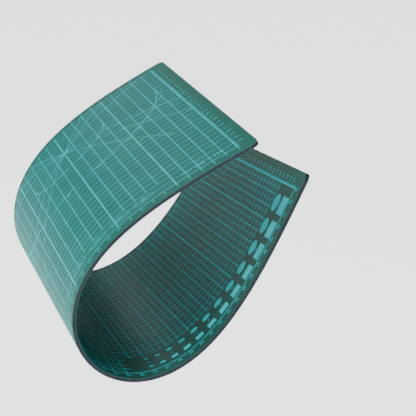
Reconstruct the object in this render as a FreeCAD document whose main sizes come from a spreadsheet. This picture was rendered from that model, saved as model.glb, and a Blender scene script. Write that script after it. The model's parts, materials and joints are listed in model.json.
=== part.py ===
import FreeCAD, Part
import Sketcher
import math
import os

# A self-healing cutting mat, curled by hand into a loop.
#
# The real mat is one flexible laminate: a healing skin on the front, a firmer core and a
# healing skin on the back, die-cut flush with rounded corners.  It bends only about lines
# that cross its width, so the model divides it into flat strips along those lines.  Every
# strip keeps its three layers, each layer a solid of its own, and a hinge at mid-thickness
# joins each strip to the next.  All the hinges turn by the same step, so the strips are
# short where the mat bends tightly and long where it lies nearly flat.
#
# The flat mat has its length along X from 0, its width along Y about 0 and its front
# towards +Z.  Each strip is drawn there and then placed round the loop.

DRIVING_SIZES = [
    ("mat_length", 457.0, "mm, along the way the mat curls"),
    ("mat_width", 305.0, "mm, across the curl"),
    ("skin_thickness", 0.6, "mm, each healing skin"),
    ("core_thickness", 1.8, "mm, the core between the skins"),
    ("corner_radius", 6.0, "mm, the mat's four corners"),
    ("strip_count", 20, "flat strips that stand in for the bending sheet"),
    ("hinge_clearance", 0.15, "mm, from a strip's end to its hinge where they come closest"),
    ("curl_reach", 91.5, "mm, from the tightest line to where 3/4 of the half turn is done"),
    ("first_skew", 5.2, "degrees, of a bending line against the width at the first end"),
    ("last_skew", -8.9, "degrees, of a bending line against the width at the last end"),
    ("first_slope", 27.0, "degrees, that the first strip falls from the grip"),
    ("last_slope", 62.0, "degrees, that the last strip climbs back towards the grip"),
    ("grip_inset", 25.0, "mm, from the first end to the middle of the grip"),
]

LAYERS = {
    "front_skin": ("sizes.core_thickness / 2", "sizes.skin_thickness"),
    "core": ("-sizes.core_thickness / 2", "sizes.core_thickness"),
    "back_skin": ("-sizes.core_thickness / 2 - sizes.skin_thickness", "sizes.skin_thickness"),
}

MAT_THICKNESS = "(sizes.core_thickness + 2 * sizes.skin_thickness)"
CURL_TURN = "(180 + sizes.last_slope - sizes.first_slope)"
TURN_STEP = f"({CURL_TURN} / (sizes.strip_count - 1))"
END_GAP = f"({MAT_THICKNESS} / 2 * tan({TURN_STEP} / 2) + sizes.hinge_clearance)"

ORIGIN_POINT = (-1, 1)
Y_AXIS = -2
START = 1
END = 2


def make_size_sheet(document):
    """Write the driving sizes into a sheet, one row each, with the name as the alias."""
    sheet = document.addObject("Spreadsheet::Sheet", "sizes")
    for row, (name, value, meaning) in enumerate(DRIVING_SIZES, start=1):
        sheet.set(f"A{row}", name)
        sheet.set(f"B{row}", str(value))
        sheet.set(f"C{row}", meaning)
        sheet.setAlias(f"B{row}", name)
    document.recompute()
    return sheet


def hinge_station(number):
    """Distance of a hinge from the first end, on the centre line.

    The curl's turn grows as tanh of the distance from the mat's middle over curl_reach, so
    equal steps of turn put the hinges at its inverse: x = reach / 2 * log((1 + y) / (1 - y)).
    """
    share = f"(2 * {number} - sizes.strip_count) / (sizes.strip_count - 1)"
    y = f"({share} * tanh(sizes.mat_length / 2 / sizes.curl_reach))"
    return f"(sizes.mat_length / 2 + sizes.curl_reach / 2 * log((1 + {y}) / (1 - {y})))"


def hinge_skew(number):
    """Angle of a hinge line against the mat's width, which changes evenly along the mat."""
    along = f"{hinge_station(number)} / sizes.mat_length"
    return f"(sizes.first_skew + (sizes.last_skew - sizes.first_skew) * {along})"


def strip_end(number, side, across):
    """Where a strip's end beside a hinge meets a long edge of the mat.

    side is -1 for the strip before the hinge and 1 for the one after it.  across is -1 or 1
    for the mat's far or near long edge.
    """
    skew = hinge_skew(number)
    pulled_back = f"{side} * {END_GAP} / cos({skew})"
    slanted = f"{across} * sizes.mat_width / 2 * tan({skew})"
    return f"{hinge_station(number)} + {pulled_back} + {slanted}"


def hinge_turns(sheet):
    """The turn about each hinge line, in the flat mat's frame, as (point, axis, angle)."""
    turns = []
    for number in range(1, int(sheet.strip_count)):
        skew = math.radians(sheet.evalExpression(hinge_skew(number)))
        point = FreeCAD.Vector(sheet.evalExpression(hinge_station(number)), 0, 0)
        axis = FreeCAD.Vector(math.sin(skew), math.cos(skew), 0)
        turns.append((point, axis, sheet.evalExpression(TURN_STEP)))
    return turns


def strip_placements(sheet):
    """The placement of each strip round the loop, from the gripped one on.

    The grip's middle, on the front face, is the model's origin.  From there the first strip
    runs towards -X and falls, and each hinge turns all that follows towards the back face.
    """
    fall = FreeCAD.Rotation(FreeCAD.Vector(0, 1, 0), -sheet.first_slope)
    about = FreeCAD.Rotation(FreeCAD.Vector(0, 0, 1), 180)
    first = FreeCAD.Placement(FreeCAD.Vector(), fall.multiply(about))
    grip = FreeCAD.Vector(sheet.grip_inset, 0, sheet.evalExpression(MAT_THICKNESS) / 2)
    first.Base = -first.multVec(grip)
    placements = [first]
    for point, axis, angle in hinge_turns(sheet):
        bend = FreeCAD.Placement(FreeCAD.Vector(), FreeCAD.Rotation(axis, angle), point)
        placements.append(placements[-1].multiply(bend))
    return placements


def hold_x(sketch, corner, expression):
    """Hold a corner's distance from the mat's first end."""
    held = sketch.addConstraint(Sketcher.Constraint("DistanceX", *ORIGIN_POINT, *corner, 1.0))
    sketch.setExpression(f"Constraints[{held}]", expression)


def hold_half_width(sketch, lower, upper):
    """Hold the distance of one long edge from the centre line, from lower to upper point."""
    held = sketch.addConstraint(Sketcher.Constraint("DistanceY", *lower, *upper, 1.0))
    sketch.setExpression(f"Constraints[{held}]", "sizes.mat_width / 2")


def origin_plane(body, role):
    """One of a body's own origin planes, by its role."""
    return next(plane for plane in body.Origin.OriginFeatures if plane.Role == role)


def draw_strip(sheet, body, number, height):
    """Sketch a strip's four-sided outline at a layer's height."""
    sketch = body.newObject("Sketcher::SketchObject", f"{body.Name}_outline")
    sketch.AttachmentSupport = [(origin_plane(body, "XY_Plane"), "")]
    sketch.MapMode = "FlatFace"
    sketch.setExpression("AttachmentOffset.Base.z", height)
    is_first = number == 1
    is_last = number == int(sheet.strip_count)
    ends = {
        "start": lambda across: strip_end(number - 1, 1, across),
        "finish": lambda across: strip_end(number, -1, across),
    }
    if is_first:
        ends["start"] = lambda across: "0"
    if is_last:
        ends["finish"] = lambda across: "sizes.mat_length"
    half = sheet.mat_width / 2
    corners = [
        FreeCAD.Vector(sheet.evalExpression(ends["start"](-1)), -half, 0),
        FreeCAD.Vector(sheet.evalExpression(ends["finish"](-1)), -half, 0),
        FreeCAD.Vector(sheet.evalExpression(ends["finish"](1)), half, 0),
        FreeCAD.Vector(sheet.evalExpression(ends["start"](1)), half, 0),
    ]
    far, finish, near, start = [
        sketch.addGeometry(Part.LineSegment(corners[side], corners[(side + 1) % 4]))
        for side in range(4)
    ]
    for before, after in ((far, finish), (finish, near), (near, start), (start, far)):
        sketch.addConstraint(Sketcher.Constraint("Coincident", before, END, after, START))
    sketch.addConstraint(Sketcher.Constraint("Horizontal", far))
    sketch.addConstraint(Sketcher.Constraint("Horizontal", near))
    hold_half_width(sketch, (far, START), ORIGIN_POINT)
    hold_half_width(sketch, ORIGIN_POINT, (near, START))
    if is_first:
        sketch.addConstraint(Sketcher.Constraint("PointOnObject", far, START, Y_AXIS))
        sketch.addConstraint(Sketcher.Constraint("PointOnObject", near, END, Y_AXIS))
    else:
        hold_x(sketch, (far, START), ends["start"](-1))
        hold_x(sketch, (near, END), ends["start"](1))
    hold_x(sketch, (far, END), ends["finish"](-1))
    hold_x(sketch, (near, START), ends["finish"](1))
    return sketch


def corner_edges(pad, station):
    """Names of the upright edges at one end of the mat, which its corners round."""
    names = []
    for index, edge in enumerate(pad.Shape.Edges, start=1):
        box = edge.BoundBox
        is_upright = box.XLength < 0.001 and box.YLength < 0.001
        if is_upright and abs(box.XMin - station) < 0.001:
            names.append(f"Edge{index}")
    return names


def round_corners(document, body, pad, station):
    """Round the two corners of the mat that an end strip carries."""
    document.recompute()
    rounded = body.newObject("PartDesign::Fillet", f"{body.Name}_corners")
    rounded.Base = (pad, corner_edges(pad, station))
    rounded.setExpression("Radius", "sizes.corner_radius")
    pad.Visibility = False


def make_strip_layer(document, sheet, layer, number, placement):
    """One layer of one strip: its outline, padded by the layer's thickness."""
    height, thickness = LAYERS[layer]
    body = document.addObject("PartDesign::Body", f"{layer}_{number:02d}")
    body.Label = f"{layer}_{number:02d}"
    pad = body.newObject("PartDesign::Pad", f"{body.Name}_pad")
    sketch = draw_strip(sheet, body, number, height)
    pad.Profile = sketch
    pad.setExpression("Length", thickness)
    if number == 1:
        round_corners(document, body, pad, 0.0)
    if number == int(sheet.strip_count):
        round_corners(document, body, pad, sheet.mat_length)
    body.Placement = placement
    return body


def make_mat(document, sheet):
    """Every layer of every strip, from the gripped end to the other end of the loop."""
    bodies = []
    for number, placement in enumerate(strip_placements(sheet), start=1):
        for layer in LAYERS:
            bodies.append(make_strip_layer(document, sheet, layer, number, placement))
    document.recompute()
    return bodies


def check_model(document, bodies):
    """Stop if any object failed or any layer isn't one valid solid."""
    failed = [item.Name for item in document.Objects
              if "Invalid" in item.State or "Error" in item.State]
    if failed:
        raise RuntimeError(f"failed to recompute: {failed}")
    for body in bodies:
        shape = body.Shape
        if shape.isNull() or not shape.isValid() or len(shape.Solids) != 1:
            raise RuntimeError(f"{body.Label} isn't one valid solid")


def export_layers(bodies):
    """Write each layer of each strip to a STEP file named after it."""
    os.makedirs("parts", exist_ok=True)
    for body in bodies:
        body.Shape.exportStep(f"parts/{body.Label}.step")


def main():
    """Build the mat, check it and write its parts."""
    document = FreeCAD.newDocument("self_healing_mat")
    sheet = make_size_sheet(document)
    bodies = make_mat(document, sheet)
    check_model(document, bodies)
    export_layers(bodies)
    print(f"{len(bodies)} solids in {int(sheet.strip_count)} strips")


if __name__ == "__main__":
    main()
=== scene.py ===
"""A self-healing cutting mat, curled by hand into a loop: its finished look.

The mat is one flexible laminate, a healing skin on each side of a dark core, with a
measuring grid printed on both faces.  Everything is first laid out flat, with the mat's
length along X from its gripped end, its width along Y about 0 and its front towards +Z.
One geometry-nodes recipe then wraps each flat piece onto the curl, whose bending follows
the same law as the CAD hinges.  Each layer is divided once for each hinge, and each
division lies about its hinge, between the two bodies that the hinge joins.
"""

import json
import logging
import math
from bisect import bisect_right
from dataclasses import dataclass, field
from enum import Enum
from functools import cached_property
from typing import Iterable, Sequence

import bmesh
import bpy
import numpy as np
from mathutils import Matrix, Vector


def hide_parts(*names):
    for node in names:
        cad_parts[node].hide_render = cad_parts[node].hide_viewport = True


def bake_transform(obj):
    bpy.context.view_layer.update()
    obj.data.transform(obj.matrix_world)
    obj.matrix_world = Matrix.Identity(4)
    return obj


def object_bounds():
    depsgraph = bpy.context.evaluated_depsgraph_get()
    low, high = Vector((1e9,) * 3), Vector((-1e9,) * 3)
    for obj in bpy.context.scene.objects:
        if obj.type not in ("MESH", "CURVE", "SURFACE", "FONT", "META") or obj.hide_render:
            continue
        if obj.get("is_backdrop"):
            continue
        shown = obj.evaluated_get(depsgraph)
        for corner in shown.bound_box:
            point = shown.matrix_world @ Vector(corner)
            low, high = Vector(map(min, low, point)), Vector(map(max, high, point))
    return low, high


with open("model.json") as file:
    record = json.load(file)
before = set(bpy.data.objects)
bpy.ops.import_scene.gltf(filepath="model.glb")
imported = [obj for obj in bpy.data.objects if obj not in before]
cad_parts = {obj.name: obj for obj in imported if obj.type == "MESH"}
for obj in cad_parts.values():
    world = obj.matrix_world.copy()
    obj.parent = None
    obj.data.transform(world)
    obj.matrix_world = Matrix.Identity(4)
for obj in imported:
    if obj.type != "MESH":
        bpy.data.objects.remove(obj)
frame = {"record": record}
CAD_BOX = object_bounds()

MM = 0.001
GRAIN_SEED = 7.0
PLACE = "flat_place"
NORMAL = "sheet_normal"
RULING = "ruling"
RISE = "rise"
SIZE_PER_HEIGHT = 1.35
DIGIT_STEPS = 2
CUT_TOLERANCE = 1e-5

log = logging.getLogger("self_healing_mat")

Triple = tuple[float, float, float]
Colour = Triple
Range = tuple[float, float]
Outline = tuple[np.ndarray, list[tuple[int, ...]]]


def show(name: str, data: bpy.types.ID) -> bpy.types.Object:
    """A new object in the scene, with this name and data.

    Args:
        name: the object's name.
        data: its mesh, curve, light or camera.

    Returns:
        The object.
    """
    made = bpy.data.objects.new(name, data)
    bpy.context.scene.collection.objects.link(made)
    return made


def plain_mesh(corners: Iterable[Triple], faces: Iterable[tuple[int, ...]]) -> bpy.types.Mesh:
    """A mesh of these corners and faces.

    Args:
        corners: the corners.
        faces: each face's corners, by number.

    Returns:
        The mesh.
    """
    mesh = bpy.data.meshes.new("plain")
    mesh.from_pydata(list(corners), [], list(faces))
    return mesh


# --------------------------------------------------------------------------- node trees


@dataclass(frozen=True)
class Wire:
    """An output socket whose arithmetic adds Math nodes to its tree."""

    tree: "Tree"
    socket: bpy.types.NodeSocket

    def __add__(self, other: "Wire | float") -> "Wire":
        """This plus other."""
        return self.tree.maths("ADD", self, other)

    def __radd__(self, other: float) -> "Wire":
        """Other plus this."""
        return self.tree.maths("ADD", other, self)

    def __sub__(self, other: "Wire | float") -> "Wire":
        """This less other."""
        return self.tree.maths("SUBTRACT", self, other)

    def __rsub__(self, other: float) -> "Wire":
        """Other less this."""
        return self.tree.maths("SUBTRACT", other, self)

    def __mul__(self, other: "Wire | float") -> "Wire":
        """This times other."""
        return self.tree.maths("MULTIPLY", self, other)

    def __rmul__(self, other: float) -> "Wire":
        """Other times this."""
        return self.tree.maths("MULTIPLY", other, self)

    def __truediv__(self, other: "Wire | float") -> "Wire":
        """This divided by other."""
        return self.tree.maths("DIVIDE", self, other)

    def __rtruediv__(self, other: float) -> "Wire":
        """Other divided by this."""
        return self.tree.maths("DIVIDE", other, self)


class Tree:
    """A node tree under construction, for a material or for geometry."""

    def __init__(self, nodes: bpy.types.NodeTree) -> None:
        """Start from an empty tree."""
        self.tree = nodes
        self.tree.nodes.clear()

    def node(self, kind: str, settings: dict | None = None,
             sockets: dict | None = None) -> bpy.types.Node:
        """Add one node.

        Args:
            kind: the node's type.
            settings: its own settings, which are set first.
            sockets: values or wires for its inputs, by name or by index.

        Returns:
            The node.
        """
        node = self.tree.nodes.new(kind)
        for name, value in (settings or {}).items():
            setattr(node, name, value)
        for key, value in (sockets or {}).items():
            if isinstance(value, Wire):
                self.tree.links.new(value.socket, node.inputs[key])
            else:
                node.inputs[key].default_value = value
        return node

    def out(self, node: bpy.types.Node, key: str | int = 0) -> Wire:
        """One of a node's outputs as a wire."""
        return Wire(self, node.outputs[key])

    def wire(self, kind: str, settings: dict | None = None, sockets: dict | None = None,
             key: str | int = 0) -> Wire:
        """One of a new node's outputs as a wire."""
        return self.out(self.node(kind, settings, sockets), key)

    def maths(self, operation: str, *values: "Wire | float") -> Wire:
        """A Math node's result for these values."""
        return self.wire("ShaderNodeMath", {"operation": operation}, dict(enumerate(values)))

    def vector_maths(self, operation: str, a: Wire, b: "Wire | Sequence[float]") -> Wire:
        """A Vector Math node's vector for two vectors."""
        return self.wire("ShaderNodeVectorMath", {"operation": operation}, {0: a, 1: b})

    def scaled(self, vector: Wire, by: "Wire | float") -> Wire:
        """A vector times a number."""
        return self.wire("ShaderNodeVectorMath", {"operation": "SCALE"}, {0: vector, "Scale": by})

    def vector(self, **numbers: Wire) -> Wire:
        """A vector from its numbers, named X, Y and Z; those not given are 0."""
        return self.wire("ShaderNodeCombineXYZ", sockets=numbers)

    def parts(self, vector: Wire) -> tuple[Wire, Wire, Wire]:
        """A vector's three numbers."""
        node = self.node("ShaderNodeSeparateXYZ", sockets={0: vector})
        return tuple(self.out(node, axis) for axis in range(3))


# --------------------------------------------------------------------------- the curl


@dataclass(frozen=True)
class Curl:
    """How the flat mat bends: its turn grows as tanh of the distance from its middle.

    Lengths are in millimetres and angles in radians.  A bending line, or ruling, crosses the
    centre line at its station, at a skew to the mat's width that changes evenly along it.
    """

    length: float = 457.0
    width: float = 305.0
    skin_thickness: float = 0.6
    core_thickness: float = 1.8
    corner_radius: float = 6.0
    reach: float = 91.5
    first_skew: float = math.radians(5.2)
    last_skew: float = math.radians(-8.9)
    grip_inset: float = 25.0
    overrun: float = 40.0
    table_step: float = 0.5
    rounds: int = 6
    turn: float = 0.0
    start: Matrix = field(default_factory=Matrix)

    @classmethod
    def from_record(cls, record: dict) -> "Curl":
        """Take the whole turn from the hinges and the first strip's lie from the grip mount.

        Args:
            record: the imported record.

        Returns:
            The curl.
        """
        turn = sum(math.radians(j["range_deg"][1]) for j in record["behaviour"]["joints"])
        grip = next(m for m in record["mounts"] if m["name"] == "grip_face")
        rise = Vector(grip["axis"]).normalized()
        across = Vector((0.0, -1.0, 0.0))
        along = across.cross(rise)
        lie = Matrix((along, across, rise)).transposed()
        face = cls.core_thickness / 2 + cls.skin_thickness
        grip_flat = Vector((cls.grip_inset, 0.0, face)) * MM
        start = Matrix.Translation(Vector(grip["pos_m"]) - lie @ grip_flat) @ lie.to_4x4()
        return cls(turn=turn, start=start)

    @property
    def half_width(self) -> float:
        """From the centre line to a long edge."""
        return self.width / 2

    @property
    def face(self) -> float:
        """From mid-thickness to either face."""
        return self.core_thickness / 2 + self.skin_thickness

    def turned(self, station: float) -> float:
        """The turn from the first end to a station, in radians.

        Args:
            station: the distance from the first end, in millimetres.

        Returns:
            The turn.
        """
        middle = self.length / 2
        rise = math.tanh((station - middle) / self.reach)
        whole = math.tanh(middle / self.reach)
        return self.turn * (rise + whole) / (2 * whole)

    def station_at(self, share: float) -> float:
        """The station where the mat has made this share of its whole turn.

        Args:
            share: 0 at the first end and 1 at the last.

        Returns:
            The station, in millimetres.
        """
        middle = self.length / 2
        whole = math.tanh(middle / self.reach)
        return middle + self.reach * math.atanh(whole * (2 * share - 1))

    def skew_rate(self) -> float:
        """How much the skew changes with each millimetre."""
        return (self.last_skew - self.first_skew) / self.length

    def skew(self, station: float) -> float:
        """The angle of a ruling against the mat's width."""
        return self.first_skew + self.skew_rate() * station

    def station_of(self, x: float, y: float) -> float:
        """The station of the ruling through a point of the flat mat.

        Args:
            x: the point's place along the mat.
            y: its place across the mat.

        Returns:
            The station, in millimetres.
        """
        station = x
        for _ in range(self.rounds):
            station = x - y * math.tan(self.skew(station))
        return station

    def ruling_x(self, station: float, y: float) -> float:
        """Where the ruling at a station lies along the mat at a distance across it."""
        return station + y * math.tan(self.skew(station))

    def frames(self) -> list[tuple[float, Matrix]]:
        """Station and placement along the mat, from beyond one end to beyond the other.

        Returns:
            A pair for each table step, in order.
        """
        onward, before = (self._walk(self.length + self.overrun, self.table_step),
                          self._walk(self.overrun, -self.table_step))
        return before[:0:-1] + onward

    def _walk(self, distance: float, step: float) -> list[tuple[float, Matrix]]:
        """Station and placement at each step of a walk from the first end.

        Args:
            distance: how far the walk goes, in millimetres.
            step: one step, negative for a walk backwards.

        Returns:
            A pair for each step, the first end's before all others.
        """
        walk = [(0.0, self.start)]
        for _ in range(round(distance / abs(step))):
            walk.append(self._next(*walk[-1], step))
        return walk

    def _next(self, station: float, place: Matrix, step: float) -> tuple[float, Matrix]:
        """The station and placement one step further on.

        Args:
            station: the station so far.
            place: the placement there.
            step: the step, in millimetres.

        Returns:
            The next pair.
        """
        middle = station + step / 2
        skew = self.skew(middle)
        axis = Vector((math.sin(skew), math.cos(skew), 0.0))
        point = Vector((middle * MM, 0.0, 0.0))
        angle = self.turned(station + step) - self.turned(station)
        bend = (Matrix.Translation(point) @ Matrix.Rotation(angle, 4, axis)
                @ Matrix.Translation(-point))
        return station + step, place @ bend

    def table(self) -> bpy.types.Object:
        """One vertex for each table step, at its ruling's foot, with the ruling's directions.

        Returns:
            The table, as an object.
        """
        frames = self.frames()
        mesh = plain_mesh((place @ Vector((s * MM, 0, 0)) for s, place in frames), [])
        ruling = mesh.attributes.new(RULING, "FLOAT_VECTOR", "POINT")
        rise = mesh.attributes.new(RISE, "FLOAT_VECTOR", "POINT")
        for index, (station, place) in enumerate(frames):
            skew = self.skew(station)
            turn = place.to_3x3()
            ruling.data[index].vector = turn @ Vector((math.sin(skew), math.cos(skew), 0))
            rise.data[index].vector = turn @ Vector((0, 0, 1))
        return show("curl_table", mesh)


# --------------------------------------------------------------------------- recipes


class Recipe:
    """A geometry-nodes tree with named inputs, used to make plain meshes."""

    SOCKETS = {
        float: "NodeSocketFloat", int: "NodeSocketInt", Vector: "NodeSocketVector",
        bpy.types.Object: "NodeSocketObject", bpy.types.Material: "NodeSocketMaterial",
    }

    def __init__(self, name: str, inputs: dict[str, type]) -> None:
        """Make the tree and its inputs, and let the subclass's build() fill it.

        Args:
            name: the tree's name.
            inputs: the type of each named input.
        """
        self.group = group = bpy.data.node_groups.new(name, "GeometryNodeTree")
        self.tree = tree = Tree(group)
        group.interface.new_socket("Geometry", in_out="INPUT", socket_type="NodeSocketGeometry")
        self.sockets = {
            title: group.interface.new_socket(title, in_out="INPUT",
                                              socket_type=self.SOCKETS[kind]).identifier
            for title, kind in inputs.items()
        }
        group.interface.new_socket("Geometry", in_out="OUTPUT", socket_type="NodeSocketGeometry")
        self.entry = tree.node("NodeGroupInput")
        realized = tree.wire("GeometryNodeRealizeInstances", sockets={0: self.build(tree)})
        dressed = tree.wire("GeometryNodeSetMaterial", sockets={
            "Geometry": realized, "Material": self.given("Material")})
        tree.node("NodeGroupOutput", sockets={0: dressed})

    def given(self, title: str) -> Wire:
        """The wire of a named input."""
        return self.tree.out(self.entry, title)

    def build(self, tree: Tree) -> Wire:
        """Fill the tree and return its geometry; each recipe has its own."""
        raise NotImplementedError

    def make(self, mesh: bpy.types.Mesh, values: dict[str, object]) -> bpy.types.Mesh:
        """Run the recipe on a mesh.

        Args:
            mesh: the recipe's geometry.
            values: a value for each named input.

        Returns:
            A new plain mesh.
        """
        worker = show("worker", mesh)
        modifier = worker.modifiers.new(self.group.name, "NODES")
        modifier.node_group = self.group
        for title, value in values.items():
            modifier[self.sockets[title]] = value
        graph = bpy.context.evaluated_depsgraph_get()
        made = bpy.data.meshes.new_from_object(
            worker.evaluated_get(graph), preserve_all_data_layers=True, depsgraph=graph)
        worker.modifiers.remove(modifier)
        bpy.data.objects.remove(worker)
        return made


class WrapRecipe(Recipe):
    """Wraps flat geometry onto the curl, and keeps its flat place and the sheet's normal."""

    ROUNDS = 5

    def __init__(self) -> None:
        """Make the tree with the curl's numbers as inputs."""
        super().__init__("wrap_onto_curl", {
            "Table": bpy.types.Object, "First Station": float, "Station Step": float,
            "First Skew": float, "Skew Rate": float, "Material": bpy.types.Material,
        })

    def build(self, tree: Tree) -> Wire:
        """Find each point's ruling, then place the point along and above it.

        Args:
            tree: the recipe's tree.

        Returns:
            The wrapped geometry.
        """
        place = tree.wire("GeometryNodeInputPosition")
        x, y, z = tree.parts(place)
        station, skew = x, self._skew(x)
        for _ in range(self.ROUNDS):
            station = x - y * tree.maths("TANGENT", skew)
            skew = self._skew(station)
        row = (station - self.given("First Station")) / self.given("Station Step")
        foot, ruling, rise = (self._read(row, source) for source in (
            tree.wire("GeometryNodeInputPosition"), self._named(RULING), self._named(RISE)))
        along = y / tree.maths("COSINE", skew)
        spot = tree.vector_maths("ADD", foot, tree.scaled(ruling, along))
        spot = tree.vector_maths("ADD", spot, tree.scaled(rise, z))
        kept = self._store(self.given("Geometry"), PLACE, place)
        kept = self._store(kept, NORMAL, rise)
        return tree.wire("GeometryNodeSetPosition", sockets={"Geometry": kept, "Position": spot})

    def _skew(self, station: Wire) -> Wire:
        """The skew of the ruling at a station."""
        return self.given("First Skew") + self.given("Skew Rate") * station

    def _named(self, name: str) -> Wire:
        """A vector attribute by its name."""
        return self.tree.wire("GeometryNodeInputNamedAttribute",
                              {"data_type": "FLOAT_VECTOR"}, {"Name": name})

    def _read(self, row: Wire, source: Wire) -> Wire:
        """A vector of the table at a row that may lie between two of its vertices.

        Args:
            row: the row's number.
            source: the vector that the vertices carry.

        Returns:
            The vector, mixed from those of the two vertices.
        """
        tree = self.tree
        table = tree.wire("GeometryNodeObjectInfo", sockets={"Object": self.given("Table")},
                          key="Geometry")
        low = tree.maths("FLOOR", row)
        ends = [tree.wire("GeometryNodeSampleIndex",
                          {"data_type": "FLOAT_VECTOR", "domain": "POINT", "clamp": True},
                          {"Geometry": table, "Value": source, "Index": index})
                for index in (low, low + 1.0)]
        return tree.wire("ShaderNodeMix", {"data_type": "VECTOR"},
                         {0: row - low, 4: ends[0], 5: ends[1]}, 1)

    def _store(self, geometry: Wire, name: str, value: Wire) -> Wire:
        """The geometry with a vector kept on its points under a name.

        Args:
            geometry: what has the points.
            name: the attribute's name.
            value: the vector.

        Returns:
            The same geometry with the attribute.
        """
        return self.tree.wire("GeometryNodeStoreNamedAttribute",
                              {"data_type": "FLOAT_VECTOR", "domain": "POINT"},
                              {"Geometry": geometry, "Name": name, "Value": value})


class RowRecipe(Recipe):
    """A recipe that repeats a flat shape along lines of points, from its first place on."""

    def line(self, count: str, offset: Wire | Triple) -> Wire:
        """A line of points, spaced by an offset."""
        return self.tree.wire("GeometryNodeMeshLine", {"mode": "OFFSET"}, {
            "Count": self.given(count), "Offset": offset})

    def at_first(self, shapes: Wire) -> Wire:
        """The shapes, moved so that the first one is at its given place."""
        return self.tree.wire("GeometryNodeTransform", sockets={
            "Geometry": shapes, "Translation": self.given("First")})


class StampRecipe(RowRecipe):
    """Prints one flat bar again and again, in rows and columns."""

    def __init__(self) -> None:
        """Make the tree with the bar's size and the rows' spacing as inputs."""
        super().__init__("stamped_bars", {
            "Bar Length": float, "Bar Width": float, "Cuts X": int, "Cuts Y": int,
            "Columns": int, "Column Pitch": float, "Rows": int, "Row Pitch": float,
            "First": Vector, "Material": bpy.types.Material,
        })

    def build(self, tree: Tree) -> Wire:
        """A grid mesh for the bar, on the points of a line of lines.

        Args:
            tree: the recipe's tree.

        Returns:
            The field of bars.
        """
        bar = tree.wire("GeometryNodeMeshGrid", sockets={
            "Size X": self.given("Bar Length"), "Size Y": self.given("Bar Width"),
            "Vertices X": self.given("Cuts X"), "Vertices Y": self.given("Cuts Y")})
        row = self.line("Columns", tree.vector(X=self.given("Column Pitch")))
        column = self.line("Rows", tree.vector(Y=self.given("Row Pitch")))
        points = tree.wire("GeometryNodeRealizeInstances", sockets={
            0: tree.wire("GeometryNodeInstanceOnPoints",
                         sockets={"Points": column, "Instance": row})})
        return self.at_first(tree.wire("GeometryNodeInstanceOnPoints", sockets={
            "Points": points, "Instance": bar}))


class TemplateRecipe(RowRecipe):
    """A row of filled shapes, each smaller than the last by the same step, a gap apart."""

    def __init__(self) -> None:
        """Make the tree with the row's sizes as inputs."""
        super().__init__("template_row", {
            "Count": int, "Largest": float, "Gap": float, "Step": float, "Sides": int,
            "Turn": float, "Reach": float, "First": Vector, "Material": bpy.types.Material,
        })

    def build(self, tree: Tree) -> Wire:
        """A polygon on each point, scaled and spaced by the point's number.

        Args:
            tree: the recipe's tree.

        Returns:
            The row of shapes.
        """
        shape = tree.wire("GeometryNodeMeshCircle", {"fill_type": "NGON"}, {
            "Vertices": self.given("Sides"), "Radius": self.given("Reach")})
        turned = tree.wire("GeometryNodeTransform", sockets={
            "Geometry": shape, "Rotation": tree.vector(Z=self.given("Turn"))})
        number = tree.wire("GeometryNodeInputIndex")
        half_step = self.given("Step") / 2.0
        size = self.given("Largest") - number * self.given("Step")
        pitch = self.given("Largest") + self.given("Gap") - half_step
        back = number * (number - 1.0) * half_step - number * pitch
        spread = tree.wire("GeometryNodeSetPosition", sockets={
            "Geometry": self.line("Count", (0.0, 0.0, 0.0)), "Position": tree.vector(X=back)})
        return self.at_first(tree.wire("GeometryNodeInstanceOnPoints", sockets={
            "Points": spread, "Instance": turned, "Scale": tree.vector(X=size, Y=size, Z=size)}))


# --------------------------------------------------------------------------- finishes


class ShaderTree(Tree):
    """A material's tree, whose patterns lie on the flat mat and so never slide."""

    def __init__(self, material: bpy.types.Material) -> None:
        """Empty the material's tree."""
        material.use_nodes = True
        super().__init__(material.node_tree)

    @cached_property
    def place(self) -> Wire:
        """Each point's place on the flat mat."""
        return self.wire("ShaderNodeAttribute", {"attribute_name": PLACE}, key="Vector")

    def noise(self, size: float, detail: float = 2.0, stretch: Triple = (1.0, 1.0, 1.0)) -> Wire:
        """Noise about 0.5.

        Args:
            size: its lumps' size in millimetres.
            detail: how many finer layers it has.
            stretch: how much longer than that the lumps are along each axis.

        Returns:
            The noise's wire.
        """
        squeezed = self.vector_maths("MULTIPLY", self.place,
                                     [1.0 / (size * MM * s) for s in stretch])
        shifted = self.vector_maths("ADD", squeezed, (GRAIN_SEED,) * 3)
        return self.wire("ShaderNodeTexNoise", sockets={
            "Vector": shifted, "Scale": 1.0, "Detail": detail, "Roughness": 0.55})

    def blend(self, share: Wire, a: Colour | Wire, b: Colour | Wire) -> Wire:
        """A colour between two.

        Args:
            share: how much there is of the second.
            a: the first colour.
            b: the second colour.

        Returns:
            The mixed colour.
        """
        values = [(*c, 1.0) if isinstance(c, tuple) else c for c in (a, b)]
        return self.wire("ShaderNodeMix", {"data_type": "RGBA", "clamp_factor": True},
                         {0: share, 6: values[0], 7: values[1]}, 2)

    def ramp(self, value: Wire, spread: Range) -> Wire:
        """A value spread over 0 to 1 between two limits, and clamped."""
        return self.wire("ShaderNodeMapRange", {"clamp": True}, {
            "Value": value, "From Min": spread[0], "From Max": spread[1]})

    def bump(self, height: Wire, depth: float) -> Wire:
        """A normal from a height in units of depth millimetres."""
        return self.wire("ShaderNodeBump", sockets={
            "Strength": 1.0, "Distance": depth * MM, "Height": height})


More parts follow.
